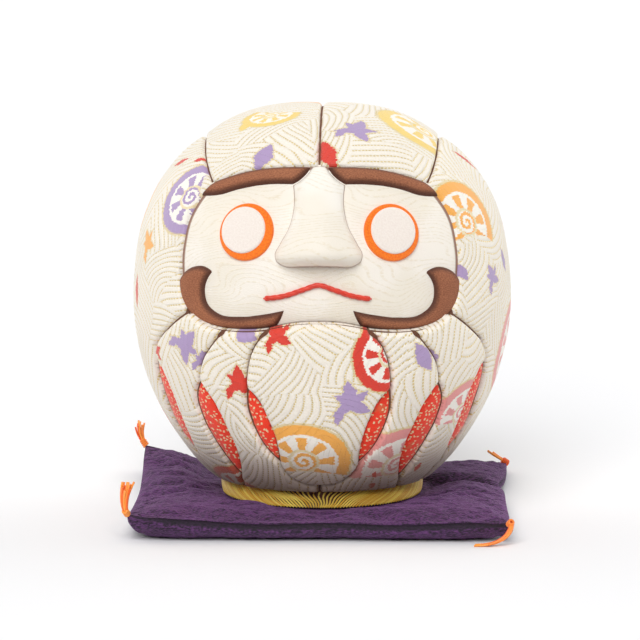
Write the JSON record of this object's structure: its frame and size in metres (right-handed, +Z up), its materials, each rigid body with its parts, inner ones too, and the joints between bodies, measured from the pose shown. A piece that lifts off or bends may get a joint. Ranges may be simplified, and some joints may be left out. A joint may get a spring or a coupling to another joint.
{
  "type": "daruma doll",
  "caption": "Brocade-covered round daruma doll with a recessed fabric face, standing loose on a square stuffed cushion with corner tassels.",
  "frame": {"origin": "on the ground under the middle of the cushion, which is also the middle of the doll's foot", "axes": "+Z up; the doll faces -Y; +X is the viewer's right when facing the doll, and node names say left and right as the viewer sees them"},
  "size_m": [0.0956, 0.0956, 0.0947],
  "materials": {
    "core_paste": "matt pressed wood-flour paste",
    "brocade": "ivory brocade with gold wave lines and woven flowers, birds and wheels",
    "red_brocade": "red brocade with small gold flecks",
    "face_silk": "cream silk with fine gold grain lines",
    "brown_crepe": "brown crepe",
    "red_cord": "twisted red cord",
    "orange_felt": "orange felt",
    "white_felt": "off-white felt",
    "foot_felt": "thin felt",
    "foot_board": "raw board",
    "gold_braid": "twisted gold thread braid",
    "purple_crepe": "dark purple crepe weave",
    "cotton_wadding": "loose cotton",
    "tassel_thread": "orange rayon thread"
  },
  "bodies": {
    "cushion": {"cushion_cover": "purple_crepe", "cushion_filling": "cotton_wadding", "tassel_front_left": "tassel_thread", "tassel_front_right": "tassel_thread", "tassel_back_left": "tassel_thread", "tassel_back_right": "tassel_thread"},
    "doll": {"core_front_half": "core_paste", "core_back_half": "core_paste", "hood_left": "brocade", "hood_right": "brocade", "side_left": "brocade", "side_right": "brocade", "robe_outer_left": "brocade", "robe_outer_right": "brocade", "robe_inner_left": "brocade", "robe_inner_right": "brocade", "robe_centre": "brocade", "inlay_outer_left": "red_brocade", "inlay_outer_right": "red_brocade", "inlay_middle_left": "red_brocade", "inlay_middle_right": "red_brocade", "inlay_inner_left": "red_brocade", "inlay_inner_right": "red_brocade", "face_panel": "face_silk", "nose": "face_silk", "eyebrow_left": "brown_crepe", "eyebrow_right": "brown_crepe", "moustache_left": "brown_crepe", "moustache_right": "brown_crepe", "mouth_cord": "red_cord", "eye_ring_left": "orange_felt", "eye_ring_right": "orange_felt", "eye_disc_left": "white_felt", "eye_disc_right": "white_felt", "base_felt": "foot_felt", "base_disc": "foot_board", "base_gold_braid": "gold_braid"}
  },
  "joints": [
    {"name": "doll_lift", "type": "slide", "parent": "cushion", "child": "doll", "axis": [0, 0, 1], "range_m": [0, 0.04]}
  ]
}
